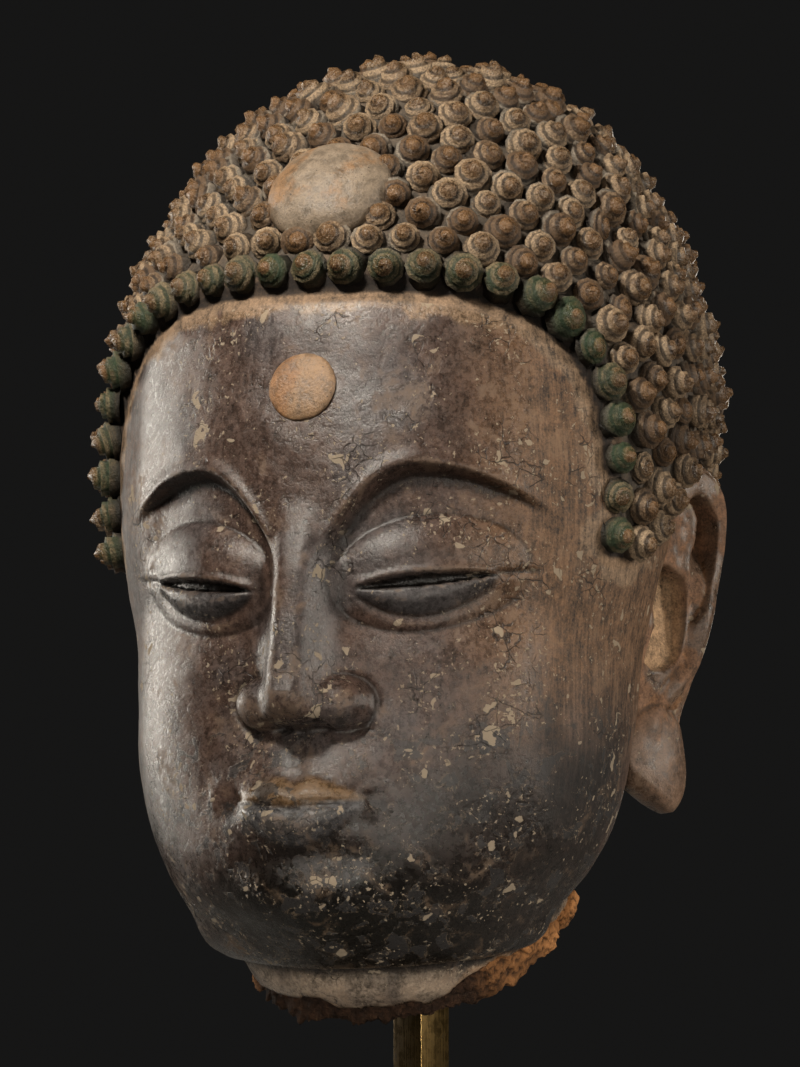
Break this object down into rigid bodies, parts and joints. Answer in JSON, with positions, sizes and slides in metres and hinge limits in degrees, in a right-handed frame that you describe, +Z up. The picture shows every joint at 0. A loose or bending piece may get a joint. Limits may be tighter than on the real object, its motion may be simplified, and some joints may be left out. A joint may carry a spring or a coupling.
{
  "type": "clay buddha head on a mount",
  "caption": "Painted clay buddha head with snail curls and long ears, broken off at the neck and held up by a square bar on a flat metal foot.",
  "frame": {"origin": "on the floor under the foot, below the middle of the whole object's outline", "axes": "+Z up, the face looks along -Y, the head's left side is +X"},
  "size_m": [0.3992, 0.4172, 0.7419],
  "materials": {
    "painted_clay": "worn dark lacquer over brown clay",
    "aged_brass": "dark aged brass with rubbed edges"
  },
  "bodies": {
    "root": {"clay_head": "painted_clay", "mount_bar": "aged_brass", "mount_foot": "aged_brass"}
  },
  "joints": []
}
